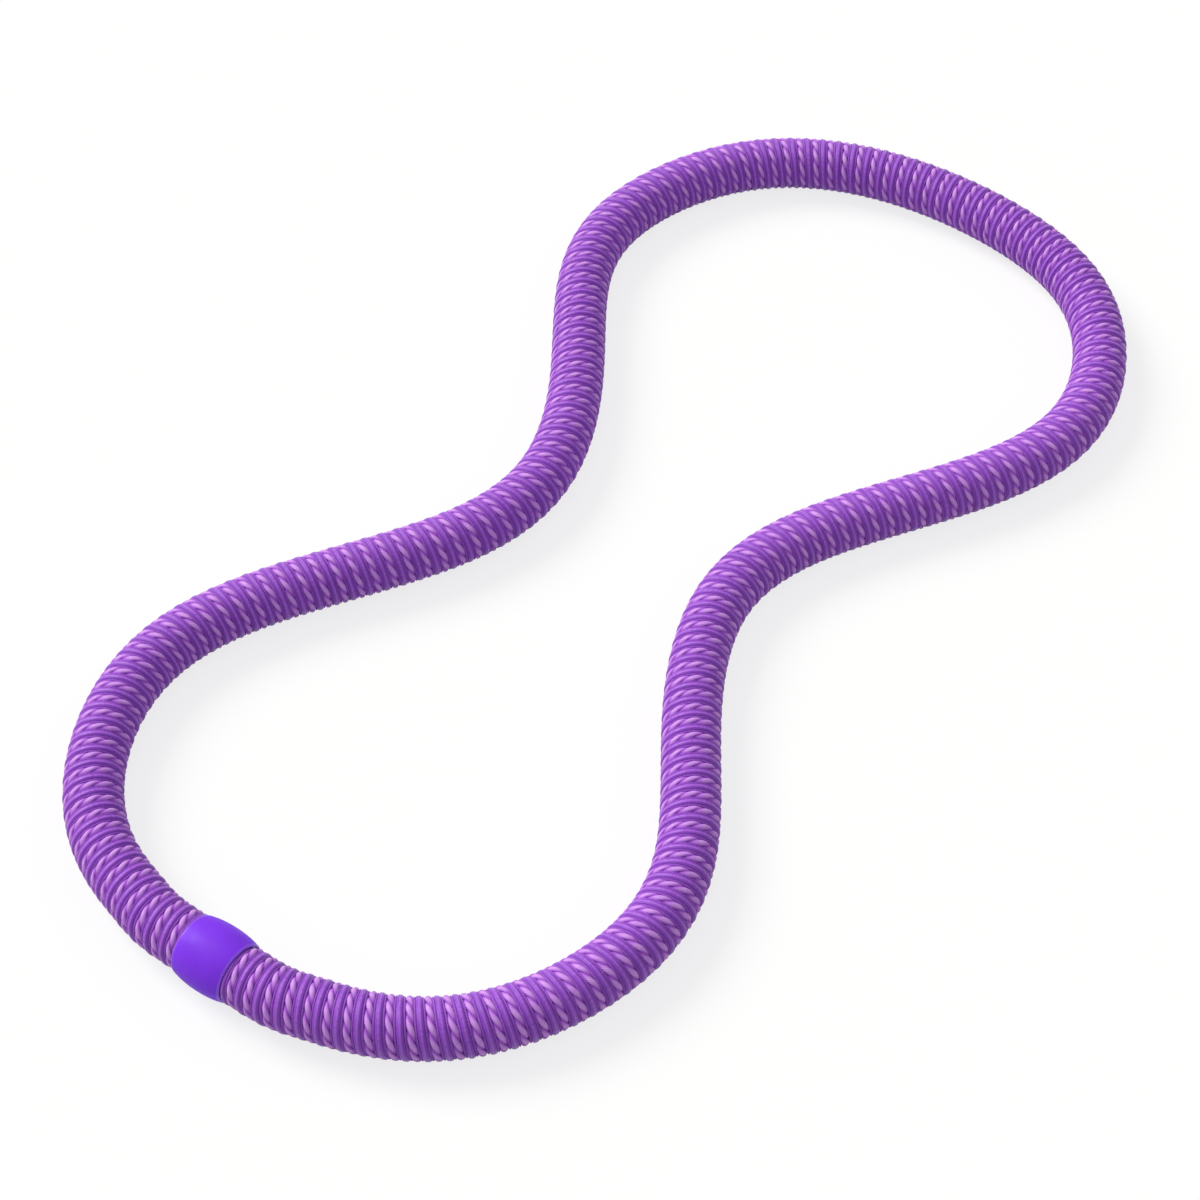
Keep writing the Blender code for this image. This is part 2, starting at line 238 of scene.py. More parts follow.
class FineLines(Effect):
    """Fine yarns, drawing marks or brushing that run along a piece."""

    name = "fine_lines"
    inputs = {"Along": 0.0, "Around": 0.0, "Line Length": 0.01, "Lines": 12.0, "Seed": 0.0}
    outputs = ("Tone", "Height")
    noise_detail = 2.0
    noise_roughness = 0.6
    tone_limits = (0.32, 0.68)

    @classmethod
    def wire(cls, wiring: Wiring, given: Outputs) -> Sockets:
        """Stretches noise along the piece.

        Args:
            wiring: The group's wiring.
            given: The group's inputs.

        Returns:
            The noise as a tone from 0 to 1, and as a height.
        """
        run = wiring.maths("DIVIDE", given["Along"], given["Line Length"])
        place = wiring.join(run, wiring.times(given["Around"], given["Lines"]), given["Seed"])
        height = wiring.noise(place, cls.noise_detail, cls.noise_roughness)
        return wiring.between(height, *cls.tone_limits), height


class SlowDrift(Effect):
    """Slow change of shade over a piece, as from dyeing, moulding or handling."""

    name = "slow_drift"
    inputs = {"Vector": (0.0, 0.0, 0.0), "Patch Size": 0.03}
    outputs = ("Value",)
    noise_detail = 3.0
    value_limits = (0.3, 0.7)

    @classmethod
    def wire(cls, wiring: Wiring, given: Outputs) -> Sockets:
        """Reads soft noise of the given patch size.

        Args:
            wiring: The group's wiring.
            given: The group's inputs.

        Returns:
            The noise, spread from 0 to 1.
        """
        scale = wiring.maths("DIVIDE", 1.0, given["Patch Size"])
        place = wiring.node("VectorMath", {0: given["Vector"], 3: scale}, operation="SCALE")
        return (wiring.between(wiring.noise(place.outputs[0], cls.noise_detail), *cls.value_limits),)


class GrooveShade(Effect):
    """How far a point lies down in a groove or up on a crest, with edges that are broken up a little. The cords
    paint shade in the groove and a highlight on the crest by these masks.
    """

    name = "groove_shade"
    inputs = {"Height": 1.0, "Along": 0.0, "Bottom": 0.55, "Top": 0.9, "Unevenness": 0.05}
    outputs = ("Groove", "Crest")
    noise_detail = 1.0
    breaks_per_metre = 600.0
    crest_limits = (0.97, 1.0)

    @classmethod
    def wire(cls, wiring: Wiring, given: Outputs) -> Sockets:
        """Maps the height to masks.

        Args:
            wiring: The group's wiring.
            given: The group's inputs.

        Returns:
            A mask of the groove, and one of the crest.
        """
        place = wiring.join(wiring.times(given["Along"], cls.breaks_per_metre), given["Height"])
        noise = wiring.maths("SUBTRACT", wiring.noise(place, cls.noise_detail), 0.5)
        height = wiring.add(noise, given["Unevenness"], given["Height"])
        out = wiring.between(height, given["Bottom"], given["Top"])
        return wiring.maths("SUBTRACT", 1.0, out), wiring.between(height, *cls.crest_limits)


@dataclass(frozen=True)
class Finish:
    """A finish: its plain shader values, its patterns and what they do.

    Patterns are values from 0 to 1 that change over the surface. Each kind of finish wires its own. Shades
    are the shares by which patterns darken the base towards the shadow. Tints then mix in colours, each by a
    share of one pattern. Roughs and reliefs are the shares by which patterns roughen the surface and raise it.
    """

    name: str
    slot: Slot
    base: Colour
    roughness: float
    metallic: float = 0.0
    sheen: float = 0.0
    sheen_roughness: float = 0.35
    sheen_tint: Colour = WHITE
    coat: float = 0.0
    coat_roughness: float = 0.1
    specular: float = 0.5
    shadow: float = 0.6
    shades: Shares = ()
    tints: Tints = ()
    roughs: Shares = ()
    reliefs: Shares = ()
    bump: float = 0.00002
    patch: float = 0.02
    line_length: float = 0.02
    lines: float = 14.0
    seed: float = 0.0

    def material(self) -> bpy.types.Material:
        """Gives the material, built on first use.

        Returns:
            The material.
        """
        if found := bpy.data.materials.get(self.name):
            return found
        made = bpy.data.materials.new(self.name)
        made.use_nodes = True
        made.diffuse_color = self.base
        wiring = Wiring(made.node_tree)
        patterns = self.patterns(wiring)
        colour = self.base
        if self.shades:
            dark = (*(self.shadow * c for c in self.base[:3]), 1.0)
            colour = wiring.mix(self._weigh(wiring, patterns, self.shades), colour, dark)
        for name, share, tint in self.tints:
            colour = wiring.mix(wiring.times(patterns[name], share), colour, tint)
        relief = self._weigh(wiring, patterns, self.reliefs)
        bump = wiring.node("Bump", {"Height": relief, "Distance": self.bump, "Strength": 1.0})
        values = {
            "Base Color": colour,
            "Roughness": self._weigh(wiring, patterns, self.roughs, self.roughness),
            "Normal": bump.outputs[0],
            "Metallic": self.metallic,
            "Sheen Weight": self.sheen,
            "Sheen Roughness": self.sheen_roughness,
            "Sheen Tint": self.sheen_tint,
            "Coat Weight": self.coat,
            "Coat Roughness": self.coat_roughness,
            "Specular IOR Level": self.specular,
        }
        wiring.feed(made.node_tree.nodes["Principled BSDF"], values)
        return made

    def _weigh(self, wiring: Wiring, patterns: Patterns, shares: Shares, start: float = 0.0) -> Socket:
        """Adds shares of patterns to a start."""
        return reduce(lambda total, part: wiring.add(patterns[part[0]], part[1], total), shares, start)

    def patterns(self, wiring: Wiring) -> Patterns:
        """Wires the finish's own patterns."""
        raise NotImplementedError

    def common(self, wiring: Wiring, along: Socket, around: Socket, place: Socket) -> Patterns:
        """Wires the patterns that most finishes have.

        Args:
            wiring: The material's wiring.
            along: Length along the piece.
            around: Share round it, or another measure across it.
            place: Where the slow patches are read.

        Returns:
            The tone and height of fine lines, and slow patches.
        """
        lines = {"Line_Length": self.line_length, "Lines": self.lines, "Seed": self.seed}
        tone, height = FineLines.place(wiring, Along=along, Around=around, **lines)
        return {"tone": tone, "lines": height, "patches": self.drift(wiring, place, self.patch)}

    def drift(self, wiring: Wiring, place: Socket, size: float) -> Socket:
        """Wires slow patches of a size."""
        return SlowDrift.place(wiring, Vector=place, Patch_Size=size)[0]


@dataclass(frozen=True)
class CordFinish(Finish):
    """Finish of a cord, whose dye drifts along it, with shade painted by its depth in the cover, and on the
    smooth cord a painted highlight on its crest.
    """

    groove_limits: Limits = (0.4, 0.96)
    unevenness: float = 0.05
    patch_row: float = 0.0

    def patterns(self, wiring: Wiring) -> Patterns:
        """Wires lines, slow patches, the masks of painted groove shade and crest highlight, and the cord's own
        weave.

        Args:
            wiring: The material's wiring.

        Returns:
            The patterns.
        """
        along, around = wiring.map_parts(STRAND_MAP)
        height = wiring.map_parts(DEPTH_MAP)[0]
        own = {"Bottom": self.groove_limits[0], "Top": self.groove_limits[1], "Unevenness": self.unevenness}
        # The groove mask paints shade, and the crest mask a highlight, into the cords' colour.
        painted_groove_shade, painted_crest_highlight = GrooveShade.place(wiring, Height=height, Along=along, **own)
        made = self.common(wiring, along, around, wiring.join(along, self.patch_row))
        return made | {"painted_groove_shade": painted_groove_shade, "painted_crest_highlight": painted_crest_highlight, "weave": self.weave(wiring, along, around)}

    def weave(self, wiring: Wiring, along: Socket, around: Socket) -> Socket:
        """Wires the weave, from 0 to 1. Each cord has its own."""
        raise NotImplementedError


@dataclass(frozen=True)
class SmoothCordFinish(CordFinish):
    """Satin cord with a very fine braid, with painted shade in the grooves and a painted highlight on its
    crest.
    """

    # Pale violet for lighter yarns and dye patches, and for the painted highlight on the crest.
    PALE_DYE_AND_HIGHLIGHT = srgb(192, 118, 240)
    groove_limits: Limits = (0.38, 0.94)
    tints: Tints = (
        ("tone", 0.15, PALE_DYE_AND_HIGHLIGHT),
        ("patches", 0.15, PALE_DYE_AND_HIGHLIGHT),
        # Painted shade: this violet is mixed in where the cord lies down in the groove.
        ("painted_groove_shade", 0.9, srgb(128, 54, 188)),
        # Painted highlight: a pale stripe along the crest of the cord.
        ("painted_crest_highlight", 0.6, PALE_DYE_AND_HIGHLIGHT),
    )
    roughs: Shares = (("tone", 0.12), ("painted_groove_shade", 0.2))
    reliefs: Shares = (("weave", 1.0), ("lines", 0.6))
    bump: float = 0.00008
    patch: float = 0.045
    line_length: float = 0.004
    lines: float = 26.0
    braid_length: float = 0.0013
    braid_rows: float = 10.0

    def weave(self, wiring: Wiring, along: Socket, around: Socket) -> Socket:
        """Wires the braid, as two sets of waves that cross.

        Args:
            wiring: The material's wiring.
            along: Length along the cord.
            around: Share round it.

        Returns:
            The braid.
        """
        run, turn = wiring.times(along, TURN / self.braid_length), wiring.times(around, TURN * self.braid_rows)
        waves = [wiring.maths("SINE", wiring.maths(way, run, turn)) for way in ("ADD", "SUBTRACT")]
        return wiring.lifted(wiring.times(*waves))


@dataclass(frozen=True)
class TwistedCordFinish(CordFinish):
    """Silky ply whose yarns wind along it, with painted shade in its seams, where the plies meet and down in
    the grooves.
    """

    # Darker violet for slow dye patches, and for painted shade in the seams and grooves.
    DARK_DYE_AND_SHADE = srgb(176, 96, 222)
    unevenness: float = 0.08
    tints: Tints = (
        ("tone", 0.45, srgb(234, 180, 250)),
        ("patches", 0.4, DARK_DYE_AND_SHADE),
        # Painted shade in the seams between the yarns.
        ("painted_seam_shade", 0.16, DARK_DYE_AND_SHADE),
        # Painted shade: the ply darkens on its flanks, where the plies meet and down in the grooves.
        ("painted_groove_shade", 1.0, DARK_DYE_AND_SHADE),
    )
    roughs: Shares = (("tone", 0.15),)
    reliefs: Shares = (("weave", 1.0), ("lines", 0.5))
    bump: float = 0.00012
    patch: float = 0.006
    patch_row: float = 3.0
    line_length: float = 0.006
    lines: float = 18.0
    seed: float = 4.0
    yarns: float = 9.0
    yarns_per_metre: float = 260.0

    def weave(self, wiring: Wiring, along: Socket, around: Socket) -> Socket:
        """Wires yarns that wind along the ply."""
        twist = wiring.add(along, self.yarns_per_metre, wiring.times(around, self.yarns))
        return wiring.lifted(wiring.maths("SINE", wiring.times(twist, TURN)))

    def patterns(self, wiring: Wiring) -> Patterns:
        """Adds the seams between the yarns, the mask of their painted shade."""
        made = super().patterns(wiring)
        return made | {"painted_seam_shade": wiring.maths("SUBTRACT", 1.0, made["weave"])}


@dataclass(frozen=True)
class FoamFinish(Finish):
    """Closed-cell foam, with sunken cells, painted shade in the sunken joins between them, and slow patches."""

    shadow: float = 0.55
    # The cell mask darkens the sunken joins between the cells: painted shade. The patches are slow tone.
    shades: Shares = (("cell", 0.4), ("patches", 0.3))
    roughs: Shares = (("cell", 0.08),)
    reliefs: Shares = (("cell", -1.0),)
    bump: float = 0.0002
    girth: float = 0.087
    cell: float = 0.0008
    cell_limits: Limits = (0.1, 0.7)

    def patterns(self, wiring: Wiring) -> Patterns:
        """Wires cells and slow patches.

        Args:
            wiring: The material's wiring.

        Returns:
            The patterns.
        """
        along, around = wiring.map_parts(STRAND_MAP)
        place = wiring.join(along, wiring.times(around, self.girth))
        cells = wiring.node("TexVoronoi", {"Vector": place, "Scale": 1 / self.cell}).outputs["Distance"]
        cell = wiring.between(cells, *self.cell_limits)
        return {"cell": cell, "patches": self.drift(wiring, place, self.patch)}


@dataclass(frozen=True)
class DrawnSteelFinish(Finish):
    """Drawn or rolled steel, with lines along it and slow stains."""

    metallic: float = 1.0
    shades: Shares = (("tone", 0.3), ("patches", 0.3))
    roughs: Shares = (("tone", 0.15),)
    reliefs: Shares = (("lines", 1.0),)
    patch: float = 0.012
    seed: float = 9.0
    mapped: bool = True
    across_scale: float = 400.0

    def patterns(self, wiring: Wiring) -> Patterns:
        """Wires lines and stains, along the strand's map or round the collar's axis.

        Args:
            wiring: The material's wiring.

        Returns:
            The patterns.
        """
        if self.mapped:
            along, around = wiring.map_parts(STRAND_MAP)
        else:
            x, y, z = wiring.split(wiring.node("TexCoord").outputs["Object"])
            along, around = wiring.maths("ADD", y, z), wiring.times(x, self.across_scale)
        return self.common(wiring, along, around, wiring.join(along, around))


@dataclass(frozen=True)
class MouldedFinish(Finish):
    """Moulded plastic: a faint orange peel, soft smudges and fine scuffs, and where it is rubbed a worn,
    polished rim, lightened also as a painted highlight.
    """

    shadow: float = 0.86
    shades: Shares = (("patches", 0.5),)
    roughs: Shares = (("smudge", 0.08), ("tone", 0.04))
    reliefs: Shares = (("peel", 1.0),)
    bump: float = 0.00003
    patch: float = 0.014
    line_length: float = 0.012
    lines: float = 40.0
    seed: float = 2.0
    smudge: float = 0.005
    scuff_slant: float = 0.7
    scuff_scale: float = 60.0
    peel: float = 0.0012
    peel_detail: float = 1.0
    rubbed_and_highlighted: bool = False
    wear_and_highlight_limits: Limits = (0.3, 0.9)
    polish_limits: Limits = (0.25, 0.7)

    def patterns(self, wiring: Wiring) -> Patterns:
        """Wires scuffs, patches, smudges and peel, and the rim's wear with its painted highlight, and its
        polish.

        Args:
            wiring: The material's wiring.

        Returns:
            The patterns.
        """
        place = wiring.node("TexCoord").outputs["Object"]
        x, y, z = wiring.split(place)
        made = self.common(wiring, wiring.add(y, self.scuff_slant, x), wiring.times(z, self.scuff_scale), place)
        made["smudge"] = self.drift(wiring, place, self.smudge)
        made["peel"] = wiring.noise(place, self.peel_detail, scale=1 / self.peel)
        if self.rubbed_and_highlighted:
            edge = wiring.map_parts(DEPTH_MAP)[0]
            # Lighter towards the rim: wear, and a painted highlight.
            made["rim_wear_and_highlight"] = wiring.times(wiring.between(edge, *self.wear_and_highlight_limits), wiring.lifted(made["tone"]))
            made["polish"] = wiring.between(edge, *self.polish_limits)
        return made


@dataclass
class Skin:
    """Points of a surface laid out in rows, and how to close it into a body."""

    name: str
    points: Array
    along: Array
    depth: Array
    rows_per_fold: int
    capped: bool = True
    smooth_angle: float = 50.0
    split: bool = False

    def build(self, finish: Finish) -> Piece:
        """Builds the piece, facing out, with its maps and its finish.

        Args:
            finish: The finish.

        Returns:
            The new object, without a parent.
        """
        rows, columns = self.points.shape[:2]
        row = np.arange(rows - 1 if self.capped else rows)[:, None, None] + [0, 0, 1, 1]
        grids = np.broadcast_arrays(row, np.arange(columns)[:, None] + [0, 1, 1, 0])
        row, column = (grid.reshape(-1, 4) for grid in grids)
        points = self.points.reshape(-1, 3)
        a, b, c, d = points[(row % rows * columns + column % columns).T]
        inside_out = np.einsum("ij,ij->", a, np.cross(b, c)) + np.einsum("ij,ij->", a, np.cross(c, d)) < 0
        if inside_out:
            row, column = (grid[:, [0, 3, 2, 1]] for grid in (row, column))
        if self.split:
            row, column = (grid[:, [0, 1, 2, 0, 2, 3]].reshape(-1, 3) for grid in (row, column))
        faces = (row % rows * columns + column % columns).tolist()
        if self.capped:
            first, last = list(range(columns)), list(range((rows - 1) * columns, rows * columns))
            faces += [first, last[::-1]] if inside_out else [first[::-1], last]
        mesh = bpy.data.meshes.new(self.name)
        mesh.from_pydata(points.tolist(), [], faces)
        self._maps(mesh, row, column)
        mesh.shade_smooth()
        mesh.set_sharp_from_angle(angle=math.radians(self.smooth_angle))
        mesh.materials.append(finish.material())
        made = add_object(self.name, mesh)
        return made

    def _maps(self, mesh: bpy.types.Mesh, row: Array, column: Array) -> None:
        """Writes the length along and the share round each corner, its depth, and a folded layout.

        Args:
            mesh: The mesh, whose first loops are those of the side faces.
            row: Row of each corner of each side face. A row past the last is the first again.
            column: Its column, likewise.
        """
        rows, columns = self.points.shape[:2]
        along = np.append(self.along, 2 * self.along[-1] - self.along[-2])
        share = column / columns
        fold = row.min(axis=1, keepdims=True) // self.rows_per_fold
        folds = math.ceil(len(along) / self.rows_per_fold)
        maps = {
            STRAND_MAP: (along[row], share),
            DEPTH_MAP: (self.depth[row % rows, column % columns], along[row]),
            BAKE_MAP: (row / self.rows_per_fold - fold, (fold + share) / folds),
        }
        for name, parts in maps.items():
            values = np.stack(parts, axis=-1).reshape(-1, 2)
            ends = np.repeat(values[-1:], len(mesh.loops) - len(values), axis=0)
            flat = np.concatenate([values, ends]).astype(np.float32).ravel()
            mesh.uv_layers.new(name=name).uv.foreach_set("vector", flat)
        mesh.uv_layers.active = mesh.uv_layers[STRAND_MAP]


@dataclass
class Centreline:
    """Closed line through the middle of the tube, and the space round it.

    The free curve runs through the route's points. By the collar the tube is straight and a little higher,
    and it turns to the free curve over the ease length.
    """

    half_route: tuple[tuple[float, float], ...] = (
        (-0.020, -1.000), (0.479, -0.961), (0.834, -0.835), (0.998, -0.641), (0.915, -0.453), (0.639, -0.257),
        (0.432, -0.044), (0.512, 0.170), (0.830, 0.404), (0.993, 0.610), (0.884, 0.804), (0.550, 0.950),
    )
    loop_length: float = 0.8860
    loop_width: float = 0.4000
    low_height: float = 0.0195
    collar_height: float = 0.0228
    straight_half: float = 0.0203
    straight_inset: float = 0.0014
    ease_length: float = 0.0600
    rise_length: float = 0.1500
    curve_steps: int = 100
    aim_reach: float = 0.0003
    heading_step: float = 0.0015175
    table_step: float = 0.0005
    table_margin: int = 4
    bend_window: int = 13
    length: float = field(init=False, default=0.0)

    def __post_init__(self) -> None:
        """Works out the curve and the tables that place() reads."""
        half = np.array(self.half_route) * (self.loop_width / 2, self.loop_length / 2)
        route = np.vstack([half, -half])
        count = len(route)
        ring = (4 * np.eye(count) + np.roll(np.eye(count), 1, 1) + np.roll(np.eye(count), -1, 1)) / 6
        poles = np.linalg.solve(ring, route)
        t = np.arange(self.curve_steps) / self.curve_steps
        shares = (
            (1 - t) ** 3 / 6, (3 * t**3 - 6 * t**2 + 4) / 6, (-3 * t**3 + 3 * t**2 + 3 * t + 1) / 6, t**3 / 6,
        )
        near = [np.roll(poles, 1 - k, axis=0) for k in range(len(shares))]
        spans = [sum(np.outer(share, pole[i]) for share, pole in zip(shares, near)) for i in range(count)]
        self._points = np.vstack(spans + [spans[0][:1]])
        steps = np.linalg.norm(np.diff(self._points, axis=0), axis=1)
        self._stations = np.concatenate([[0.0], np.cumsum(steps)])
        self.length = float(self._stations[-1])
        aim = np.diff(self._free(np.array([-self.aim_reach, self.aim_reach])), axis=0)[0]
        self.collar_direction = aim / np.linalg.norm(aim)
        self._tabulate()

    def _free(self, stations: Array) -> Array:
        """Gives the x and y of stations on the free curve, which wrap round the loop."""
        wrapped = np.mod(stations, self.length)
        return np.stack([np.interp(wrapped, self._stations, self._points[:, i]) for i in (0, 1)], axis=-1)

    def _held(self, from_collar: Array, reach: float) -> Array:
        """Gives the collar's hold: 1 along the straight, and 0 a reach further out."""
        out = np.clip((np.abs(from_collar) - self.straight_half) / reach, 0.0, 1.0)
        return 1 - out**3 * (10 - 15 * out + 6 * out**2)

    def middle(self, stations: Array) -> Array:
        """Gives places on the middle of the tube.

        Args:
            stations: Stations, which wrap round the loop.

        Returns:
            One row of x, y and z for each station.
        """
        from_collar = np.mod(stations + self.length / 2, self.length) - self.length / 2
        across = np.array([-self.collar_direction[1], self.collar_direction[0]])
        start = self._free(np.array([0.0]))[0] + self.straight_inset * across
        straight = start + from_collar[:, None] * self.collar_direction
        hold = self._held(from_collar, self.ease_length)[:, None]
        plan = hold * straight + (1 - hold) * self._free(stations)
        lift = self._held(from_collar, self.rise_length) * (self.collar_height - self.low_height)
        return np.column_stack([plan, self.low_height + lift])

    def _tabulate(self) -> None:
        """Tabulates the middle, the level inward direction and the curvature along the loop."""
        margin = self.table_margin * self.table_step
        self._table = np.arange(-margin, self.length + margin, self.table_step)
        ahead = self.middle(self._table + self.heading_step) - self.middle(self._table - self.heading_step)
        ahead[:, 2] = 0
        ahead /= np.linalg.norm(ahead, axis=1)[:, None]
        self._columns = np.column_stack([self.middle(self._table), -ahead[:, 1], ahead[:, 0]])
        heading = np.unwrap(np.arctan2(ahead[:, 1], ahead[:, 0]))
        curvature = np.pad(np.gradient(heading, self.table_step), self.bend_window // 2, mode="edge")
        self._curvatures = np.convolve(curvature, np.ones(self.bend_window) / self.bend_window, mode="valid")

    def place(self, stations: Array, angles: Array, radii: Array) -> Array:
        """Gives points in space of stations, angles and radii, which have one shape.

        Args:
            stations: Stations along the tube.
            angles: Angles round the tube, in radians.
            radii: Distances from the middle of the tube.

        Returns:
            The points, with x, y and z as a last axis.
        """
        x, y, z, inward_x, inward_y = (np.interp(stations, self._table, column) for column in self._columns.T)
        side, down = radii * np.sin(angles), radii * np.cos(angles)
        return np.stack([x + inward_x * side, y + inward_y * side, z - down], axis=-1)

    def stretch(self, stations: Array, angles: Array, radii: Array) -> Array:
        """Gives how much longer the tube is at a point than along its middle: over 1 outside a bend."""
        curvature = np.interp(stations, self._table, self._curvatures)
        return 1 - curvature * radii * np.sin(angles)


@dataclass(frozen=True)
class Span:
    """Length of tube that bends at one joint, from the middle of one body to the middle of the next."""

    joint: str
    before: str
    after: str
    start: float
    end: float
    bend_from: Place
    bend_to: Place

    def fit(self, skin: Skin, finish: Finish, layer: Layer) -> Piece:
        """Builds a layer's piece along this span, and hides the frame's nodes of that layer for the span's two
        bodies and its joint.

        Args:
            skin: The piece's surface.
            finish: Its finish.
            layer: The layer whose nodes it stands for.

        Returns:
            The finished piece.
        """
        piece = skin.build(finish)
        parts = (self.before, f"bend_{self.joint}", self.after)
        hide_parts(*(f"{layer.value}_{part}" for part in parts))
        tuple(self.bend_from)
        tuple(self.bend_to)
        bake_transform(piece)
        return piece


@dataclass
class LoopPlan:
    """Where the loop bends, and which bodies meet there."""

    line: Centreline
    bodies: tuple[str, ...] = (
        "near_lobe_right", "right_run_near", "right_run_far", "far_lobe", "left_run_far", "left_run_near",
        "near_lobe_left",
    )
    joints: tuple[str, ...] = (
        "near_right_shoulder", "right_waist", "far_right_shoulder", "far_left_shoulder", "left_waist",
        "near_left_shoulder",
    )
    shares: tuple[float, ...] = (0.2340, 0.5090, 0.8000)
    bend_reach: tuple[float, ...] = (0.119, 0.128, 0.120)
    chord_reach: float = 0.140

    def spans(self) -> list[Span]:
        """Works out the six spans.

        Returns:
            The spans in order from the collar.
        """
        half = self.line.length / 2
        stations = [share * half for share in self.shares]
        stations += [station + half for station in stations]
        cuts = [0.0] + [(a + b) / 2 for a, b in zip(stations, stations[1:])] + [self.line.length]
        made = []
        for i, joint in enumerate(self.joints):
            behind, middle, ahead = self.line.middle(stations[i] + self.chord_reach * np.array([-1, 0, 1]))
            chord = (ahead - behind) * (1, 1, 0)
            chord *= self.bend_reach[i % len(self.bend_reach)] / np.linalg.norm(chord)
            ends = [tuple(map(float, middle + side * chord)) for side in (-1, 1)]
            made.append(Span(joint, self.bodies[i], self.bodies[i + 1], cuts[i], cuts[i + 1], *ends))
        return made


@dataclass(frozen=True)
class Helix:
    """Helix round the tube along which a strand is laid, if need be some turns further on."""

    line: Centreline
    radius: float
    pitch: float
    further: float = 0.0

    @property
    def lead(self) -> float:
        """Gives the lead angle."""
        return math.atan2(self.pitch, TURN * self.radius)

    def turns(self, span: Span, start: float, steps: int) -> Array:
        """Works out the turns of a strand in a span.

        Args:
            span: The span.
            start: Distance from the collar's middle at which the strand starts and ends.
            steps: Steps to a turn.

        Returns:
            A column of turns. Between spans the strand is cut at the tube's underside.
        """
        length = self.line.length
        first, last = start / self.pitch - self.further, (length - start) / self.pitch - self.further
        low = first if span.start == 0 else round(span.start / self.pitch - self.further)
        high = last if span.end == length else round(span.end / self.pitch - self.further)
        return np.linspace(low, high, round((high - low) * steps) + 1)[:, None]

    def middle(self, turns: Array) -> Array:
        """Gives the stations of the strand's middle."""
        return (turns + self.further) * self.pitch

    def length(self, turns: Array) -> Array:
        """Gives the length along the strand at each turn."""
        return turns[:, 0] * TURN * self.radius / math.cos(self.lead)

    def lay(self, turns: Array, across: Array, rise: Array, ahead: Array | float = 0.0) -> tuple[Array, ...]:
        """Lays a strand's points on a straight tube.

        Args:
            turns: Column of turns.
            across: Places across the strand.
            rise: Heights above the helix.
            ahead: Places ahead along the strand.

        Returns:
            Stations, angles and radii.
        """
        lead_sin, lead_cos = math.sin(self.lead), math.cos(self.lead)
        stations = self.middle(turns) + ahead * lead_sin + across * lead_cos
        angles = turns * TURN + (ahead * lead_cos - across * lead_sin) / self.radius
        return stations, angles, self.radius + rise + np.zeros_like(stations)


@dataclass
class Winding:
    """How the cords are wound round the tube, and where the collar's lips and bands hold them down."""

    line: Centreline
    pitch: float = 0.01214
    bound_until: float = 0.0178
    full_from: float = 0.0225

    def freed(self, stations: Array) -> Array:
        """Gives how far the cords have risen from under a band: 0 beneath it and 1 where they are free."""
        past = np.minimum(stations, self.line.length - stations) - self.bound_until
        return 1 - (1 - np.clip(past / (self.full_from - self.bound_until), 0.0, 1.0)) ** 2

    def phase(self, stations: Array, angles: Array) -> Array:
        """Gives the share of a turn by which a point lies past the smooth cord, from -0.5 to 0.5."""
        past = stations / self.pitch - angles / TURN
        return past - np.round(past)


